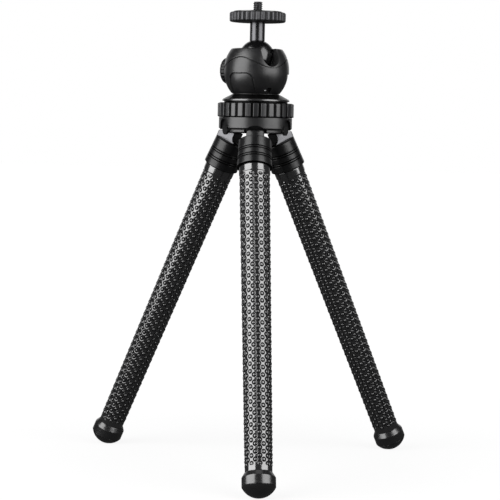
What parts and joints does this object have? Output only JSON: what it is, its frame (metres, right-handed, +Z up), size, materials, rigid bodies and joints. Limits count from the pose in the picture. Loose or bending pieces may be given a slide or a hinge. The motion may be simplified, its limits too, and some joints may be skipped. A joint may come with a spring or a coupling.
{
  "type": "flexible leg tripod",
  "caption": "Small black tripod with a ball head, a ribbed lock ring and hinged, textured rubber legs that bend and stay where they are put.",
  "frame": {"origin": "middle of the footprint's box, on the floor", "axes": "+Z up along the camera screw, one leg towards -Y"},
  "size_m": [0.2256, 0.1983, 0.3148],
  "materials": {
    "satin_black": "satin moulded",
    "gloss_black": "glossy moulded",
    "black_rubber": "soft sheen",
    "black_metal": "smooth black",
    "dark_steel": "polished dark",
    "steel": "plain",
    "alloy": "plain",
    "nylon": "plain"
  },
  "bodies": {
    "base": {"hub": "satin_black", "hub_plate": "satin_black", "plate_screws": "steel", "hinge_pins": "steel", "collar": "gloss_black", "pan_bolt": "steel", "pan_washer": "nylon"},
    "ring": {"lock_ring": "satin_black"},
    "head": {"housing_body": "satin_black", "housing_cap": "satin_black", "cap_dowels": "steel", "ball_seat": "nylon", "seat_spring": "steel", "pan_grub_screw": "steel", "index_pip": "nylon", "clamp_shoe": "nylon"},
    "knob": {"clamp_screw": "steel", "lock_knob": "gloss_black", "knob_cap": "dark_steel"},
    "ball": {"ball": "black_metal"},
    "stem": {"stem": "dark_steel", "camera_stud": "steel"},
    "disc": {"lock_disc": "satin_black", "disc_pad": "black_rubber"},
    "leg_1": {"ferrule_1": "gloss_black", "core_1_1": "alloy", "sleeve_1_1": "black_rubber"},
    "leg_1_length_2": {"core_1_2": "alloy", "sleeve_1_2": "black_rubber"},
    "leg_1_length_3": {"core_1_3": "alloy", "sleeve_1_3": "black_rubber"},
    "leg_1_length_4": {"core_1_4": "alloy", "sleeve_1_4": "black_rubber", "foot_1": "black_rubber"},
    "leg_2": {"ferrule_2": "gloss_black", "core_2_1": "alloy", "sleeve_2_1": "black_rubber"},
    "leg_2_length_2": {"core_2_2": "alloy", "sleeve_2_2": "black_rubber"},
    "leg_2_length_3": {"core_2_3": "alloy", "sleeve_2_3": "black_rubber"},
    "leg_2_length_4": {"core_2_4": "alloy", "sleeve_2_4": "black_rubber", "foot_2": "black_rubber"},
    "leg_3": {"ferrule_3": "gloss_black", "core_3_1": "alloy", "sleeve_3_1": "black_rubber"},
    "leg_3_length_2": {"core_3_2": "alloy", "sleeve_3_2": "black_rubber"},
    "leg_3_length_3": {"core_3_3": "alloy", "sleeve_3_3": "black_rubber"},
    "leg_3_length_4": {"core_3_4": "alloy", "sleeve_3_4": "black_rubber", "foot_3": "black_rubber"}
  },
  "joints": [
    {"name": "lock_ring_turn", "type": "hinge", "parent": "base", "child": "ring", "pos_m": [0, 0.02912, 0.23643], "axis": [0, 0, 1], "range_deg": [0, 360]},
    {"name": "head_pan", "type": "hinge", "parent": "base", "child": "head", "pos_m": [0, 0.02912, 0.25262], "axis": [0, 0, 1], "continuous": true},
    {"name": "clamp_knob_turn", "type": "hinge", "parent": "head", "child": "knob", "pos_m": [0, 0.02912, 0.26827], "axis": [-0.8829, 0.4695, 0], "range_deg": [0, 540]},
    {"name": "ball_tilt", "type": "hinge", "parent": "head", "child": "ball", "pos_m": [0, 0.02912, 0.27692], "axis": [0.8829, 0.4695, 0], "range_deg": [-30, 90]},
    {"name": "ball_spin", "type": "hinge", "parent": "ball", "child": "stem", "pos_m": [0, 0.02912, 0.27692], "axis": [0, 0, 1], "continuous": true},
    {"name": "disc_turn", "type": "hinge", "parent": "stem", "child": "disc", "pos_m": [0, 0.02912, 0.30764], "axis": [0, 0, 1], "range_deg": [0, 360]},
    {"name": "leg_1_fold", "type": "hinge", "parent": "base", "child": "leg_1", "pos_m": [0, 0.01069, 0.23023], "axis": [1, 0, 0], "range_deg": [0, 25.1]},
    {"name": "leg_1_flex_1", "type": "hinge", "parent": "leg_1", "child": "leg_1_length_2", "pos_m": [0.00163, -0.01965, 0.15605], "axis": [-0.9995, -0.0133, -0.0284], "range_deg": [-30, 30]},
    {"name": "leg_1_flex_2", "type": "hinge", "parent": "leg_1_length_2", "child": "leg_1_length_3", "pos_m": [0.00326, -0.04164, 0.10909], "axis": [0, -0.9056, 0.4242], "range_deg": [-30, 30]},
    {"name": "leg_1_flex_3", "type": "hinge", "parent": "leg_1_length_3", "child": "leg_1_length_4", "pos_m": [0.00489, -0.06364, 0.06214], "axis": [-0.9995, -0.0133, -0.0284], "range_deg": [-30, 30]},
    {"name": "leg_2_fold", "type": "hinge", "parent": "base", "child": "leg_2", "pos_m": [0.01596, 0.03834, 0.23023], "axis": [-0.5, 0.866, 0], "range_deg": [0, 25.1]},
    {"name": "leg_2_flex_1", "type": "hinge", "parent": "leg_2", "child": "leg_2_length_2", "pos_m": [0.04224, 0.05351, 0.15602], "axis": [0.5, -0.866, 0], "range_deg": [-30, 30]},
    {"name": "leg_2_flex_2", "type": "hinge", "parent": "leg_2_length_2", "child": "leg_2_length_3", "pos_m": [0.0613, 0.06451, 0.10905], "axis": [0.7842, 0.4528, 0.4242], "range_deg": [-30, 30]},
    {"name": "leg_2_flex_3", "type": "hinge", "parent": "leg_2_length_3", "child": "leg_2_length_4", "pos_m": [0.08036, 0.07551, 0.06207], "axis": [0.5, -0.866, 0], "range_deg": [-30, 30]},
    {"name": "leg_3_fold", "type": "hinge", "parent": "base", "child": "leg_3", "pos_m": [-0.01596, 0.03834, 0.23023], "axis": [-0.5, -0.866, 0], "range_deg": [0, 25.1]},
    {"name": "leg_3_flex_1", "type": "hinge", "parent": "leg_3", "child": "leg_3_length_2", "pos_m": [-0.04224, 0.05351, 0.15602], "axis": [0.5, 0.866, 0], "range_deg": [-30, 30]},
    {"name": "leg_3_flex_2", "type": "hinge", "parent": "leg_3_length_2", "child": "leg_3_length_3", "pos_m": [-0.0613, 0.06451, 0.10905], "axis": [-0.7842, 0.4528, 0.4242], "range_deg": [-30, 30]},
    {"name": "leg_3_flex_3", "type": "hinge", "parent": "leg_3_length_3", "child": "leg_3_length_4", "pos_m": [-0.08036, 0.07551, 0.06207], "axis": [0.5, 0.866, 0], "range_deg": [-30, 30]}
  ]
}
